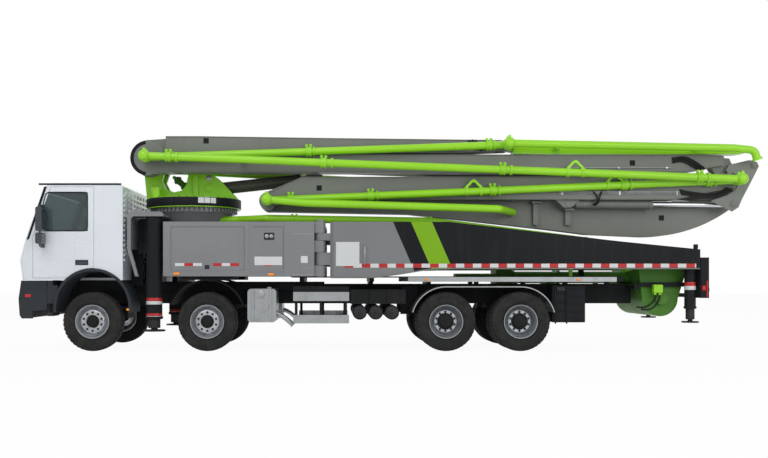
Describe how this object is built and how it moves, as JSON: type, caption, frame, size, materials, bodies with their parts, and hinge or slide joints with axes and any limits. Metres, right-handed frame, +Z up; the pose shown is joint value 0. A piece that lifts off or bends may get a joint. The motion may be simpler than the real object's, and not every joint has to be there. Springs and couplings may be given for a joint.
{
  "type": "truck-mounted concrete pump",
  "caption": "Four-axle concrete pump truck with a folding boom in travelling order, swing-out outriggers and rear hopper.",
  "frame": {"origin": "middle of the truck's footprint, on the ground", "axes": "+X towards the rear, +Y towards the truck's right side, +Z up"},
  "size_m": [13.588, 3.05, 3.96],
  "materials": {
    "cab_white": "gloss white paint",
    "body_grey": "satin mid grey paint",
    "boom_grey": "satin grey paint",
    "lime": "gloss yellow-green paint",
    "frame_black": "semi-gloss black paint",
    "arm_paint": "grey, green and black paint in slanting bands",
    "bright_metal": "bright aluminium",
    "rim_steel": "silver painted steel",
    "dark_steel": "dark forged steel",
    "tyre_rubber": "black rubber",
    "trim": "grey moulded plastic",
    "interior": "dark moulded plastic and cloth",
    "glass": "tinted glass",
    "rod_chrome": "polished rod"
  },
  "bodies": {
    "root": {"chassis_frame": "frame_black", "axles": "dark_steel", "cab_shell": "cab_white", "windscreen": "glass", "cab_interior": "interior", "front_bumper": "trim", "outrigger_base": "body_grey", "side_lockers": "body_grey", "pedestal": "boom_grey", "deck_pipe": "lime", "deck": "frame_black", "bright_gear": "bright_metal", "dark_gear": "frame_black", "hopper": "lime", "pump": "lime", "tail_frame": "frame_black"},
    "knuckle_1_left": {"knuckle_1_left": "dark_steel"},
    "wheel_1_left": {"tyre_1_left": "tyre_rubber", "rim_1_left": "rim_steel"},
    "knuckle_1_right": {"knuckle_1_right": "dark_steel"},
    "wheel_1_right": {"tyre_1_right": "tyre_rubber", "rim_1_right": "rim_steel"},
    "knuckle_2_left": {"knuckle_2_left": "dark_steel"},
    "wheel_2_left": {"tyre_2_left": "tyre_rubber", "rim_2_left": "rim_steel"},
    "knuckle_2_right": {"knuckle_2_right": "dark_steel"},
    "wheel_2_right": {"tyre_2_right": "tyre_rubber", "rim_2_right": "rim_steel"},
    "wheel_3_left": {"tyre_3_left": "tyre_rubber", "rim_3_left": "rim_steel"},
    "wheel_3_right": {"tyre_3_right": "tyre_rubber", "rim_3_right": "rim_steel"},
    "wheel_4_left": {"tyre_4_left": "tyre_rubber", "rim_4_left": "rim_steel"},
    "wheel_4_right": {"tyre_4_right": "tyre_rubber", "rim_4_right": "rim_steel"},
    "door_left": {"door_left": "cab_white"},
    "door_right": {"door_right": "cab_white"},
    "turret": {"turret": "lime"},
    "boom_1": {"boom_section_1": "boom_grey", "boom_pipe_1": "lime"},
    "boom_2": {"boom_section_2": "boom_grey", "boom_pipe_2": "lime"},
    "boom_3": {"boom_section_3": "boom_grey", "boom_pipe_3": "lime"},
    "boom_4": {"boom_section_4": "boom_grey", "boom_pipe_4": "lime"},
    "boom_5": {"boom_section_5": "boom_grey", "boom_pipe_5": "lime"},
    "boom_6": {"boom_section_6": "lime"},
    "lift_barrel": {"lift_barrel": "boom_grey"},
    "lift_rod": {"lift_rod": "rod_chrome"},
    "front_outrigger_left": {"front_outrigger_left": "frame_black"},
    "front_jack_left": {"front_jack_left": "dark_steel"},
    "rear_outrigger_left": {"rear_outrigger_left": "arm_paint"},
    "rear_jack_left": {"rear_jack_left": "dark_steel"},
    "front_outrigger_right": {"front_outrigger_right": "frame_black"},
    "front_jack_right": {"front_jack_right": "dark_steel"},
    "rear_outrigger_right": {"rear_outrigger_right": "arm_paint"},
    "rear_jack_right": {"rear_jack_right": "dark_steel"}
  },
  "joints": [
    {"name": "steer_1_left", "type": "hinge", "parent": "root", "child": "knuckle_1_left", "pos_m": [-5.483, -0.88, 0.539], "axis": [0, 0, 1], "range_deg": [-32, 32]},
    {"name": "roll_1_left", "type": "hinge", "parent": "knuckle_1_left", "child": "wheel_1_left", "pos_m": [-5.483, -1.085, 0.539], "axis": [0, 1, 0], "continuous": true},
    {"name": "steer_1_right", "type": "hinge", "parent": "root", "child": "knuckle_1_right", "pos_m": [-5.483, 0.88, 0.539], "axis": [0, 0, 1], "range_deg": [-32, 32]},
    {"name": "roll_1_right", "type": "hinge", "parent": "knuckle_1_right", "child": "wheel_1_right", "pos_m": [-5.483, 1.085, 0.539], "axis": [0, 1, 0], "continuous": true},
    {"name": "steer_2_left", "type": "hinge", "parent": "root", "child": "knuckle_2_left", "pos_m": [-3.402, -0.88, 0.539], "axis": [0, 0, 1], "range_deg": [-19.2, 19.2]},
    {"name": "roll_2_left", "type": "hinge", "parent": "knuckle_2_left", "child": "wheel_2_left", "pos_m": [-3.402, -1.085, 0.539], "axis": [0, 1, 0], "continuous": true},
    {"name": "steer_2_right", "type": "hinge", "parent": "root", "child": "knuckle_2_right", "pos_m": [-3.402, 0.88, 0.539], "axis": [0, 0, 1], "range_deg": [-19.2, 19.2]},
    {"name": "roll_2_right", "type": "hinge", "parent": "knuckle_2_right", "child": "wheel_2_right", "pos_m": [-3.402, 1.085, 0.539], "axis": [0, 1, 0], "continuous": true},
    {"name": "roll_3_left", "type": "hinge", "parent": "root", "child": "wheel_3_left", "pos_m": [0.932, -1.085, 0.539], "axis": [0, 1, 0], "continuous": true},
    {"name": "roll_3_right", "type": "hinge", "parent": "root", "child": "wheel_3_right", "pos_m": [0.932, 1.085, 0.539], "axis": [0, 1, 0], "continuous": true},
    {"name": "roll_4_left", "type": "hinge", "parent": "root", "child": "wheel_4_left", "pos_m": [2.282, -1.085, 0.539], "axis": [0, 1, 0], "continuous": true},
    {"name": "roll_4_right", "type": "hinge", "parent": "root", "child": "wheel_4_right", "pos_m": [2.282, 1.085, 0.539], "axis": [0, 1, 0], "continuous": true},
    {"name": "door_left_open", "type": "hinge", "parent": "root", "child": "door_left", "pos_m": [-6.554, -1.235, 2.1], "axis": [0, 0, -1], "range_deg": [0, 70]},
    {"name": "door_right_open", "type": "hinge", "parent": "root", "child": "door_right", "pos_m": [-6.554, 1.235, 2.1], "axis": [0, 0, 1], "range_deg": [0, 70]},
    {"name": "turret_slew", "type": "hinge", "parent": "root", "child": "turret", "pos_m": [-3.832, 0, 2.66], "axis": [0, 0, 1], "range_deg": [-95, 110]},
    {"name": "boom_lift", "type": "hinge", "parent": "turret", "child": "boom_1", "pos_m": [-4.45, 0, 3.48], "axis": [0, -1, 0], "range_deg": [0, 88]},
    {"name": "boom_2_unfold", "type": "hinge", "parent": "boom_1", "child": "boom_2", "pos_m": [6.5, -0.33, 2.9], "axis": [0, 1, 0], "range_deg": [0, 180]},
    {"name": "boom_3_unfold", "type": "hinge", "parent": "boom_2", "child": "boom_3", "pos_m": [-2.329, -0.66, 2.764], "axis": [0, -1, 0], "range_deg": [0, 180]},
    {"name": "boom_4_unfold", "type": "hinge", "parent": "boom_3", "child": "boom_4", "pos_m": [6.325, -0.66, 3.136], "axis": [0, 1, 0], "range_deg": [0, 180]},
    {"name": "boom_5_unfold", "type": "hinge", "parent": "boom_4", "child": "boom_5", "pos_m": [-4.56, -0.66, 3.56], "axis": [0, -1, 0], "range_deg": [0, 180]},
    {"name": "boom_6_raise", "type": "hinge", "parent": "boom_5", "child": "boom_6", "pos_m": [2.09, -0.66, 3.79], "axis": [0, -1, 0], "range_deg": [0, 110]},
    {"name": "lift_barrel_tilt", "type": "hinge", "parent": "turret", "child": "lift_barrel", "pos_m": [-3.54, 0, 3.05], "axis": [0, -1, 0], "range_deg": [0, 94.4]},
    {"name": "lift_rod_extend", "type": "slide", "parent": "lift_barrel", "child": "lift_rod", "axis": [0.9942, 0, 0.1072], "range_m": [0, 1.382]},
    {"name": "front_outrigger_left_extend", "type": "slide", "parent": "root", "child": "front_outrigger_left", "axis": [-0.342, -0.9397, 0], "range_m": [0, 1.5]},
    {"name": "front_jack_left_lower", "type": "slide", "parent": "front_outrigger_left", "child": "front_jack_left", "axis": [0, 0, -1], "range_m": [0, 0.45]},
    {"name": "rear_outrigger_left_swing", "type": "hinge", "parent": "root", "child": "rear_outrigger_left", "pos_m": [-1.35, -1.09, 1.8], "axis": [0, 0, -1], "range_deg": [0, 95]},
    {"name": "rear_jack_left_lower", "type": "slide", "parent": "rear_outrigger_left", "child": "rear_jack_left", "axis": [0, 0, -1], "range_m": [0, 0.6]},
    {"name": "front_outrigger_right_extend", "type": "slide", "parent": "root", "child": "front_outrigger_right", "axis": [-0.342, 0.9397, 0], "range_m": [0, 1.5]},
    {"name": "front_jack_right_lower", "type": "slide", "parent": "front_outrigger_right", "child": "front_jack_right", "axis": [0, 0, -1], "range_m": [0, 0.45]},
    {"name": "rear_outrigger_right_swing", "type": "hinge", "parent": "root", "child": "rear_outrigger_right", "pos_m": [-1.35, 1.09, 1.8], "axis": [0, 0, 1], "range_deg": [0, 95]},
    {"name": "rear_jack_right_lower", "type": "slide", "parent": "rear_outrigger_right", "child": "rear_jack_right", "axis": [0, 0, -1], "range_m": [0, 0.6]}
  ],
  "couplings": [
    {"joint": "steer_1_right", "follows": "steer_1_left", "ratio": 1},
    {"joint": "steer_2_left", "follows": "steer_1_left", "ratio": 0.6},
    {"joint": "steer_2_right", "follows": "steer_1_left", "ratio": 0.6},
    {"joint": "boom_3_unfold", "follows": "boom_2_unfold", "ratio": 1},
    {"joint": "lift_barrel_tilt", "follows": "boom_lift", "ratio": 1.0669},
    {"joint": "lift_rod_extend", "follows": "boom_lift", "m_per_rad": 0.893}
  ]
}
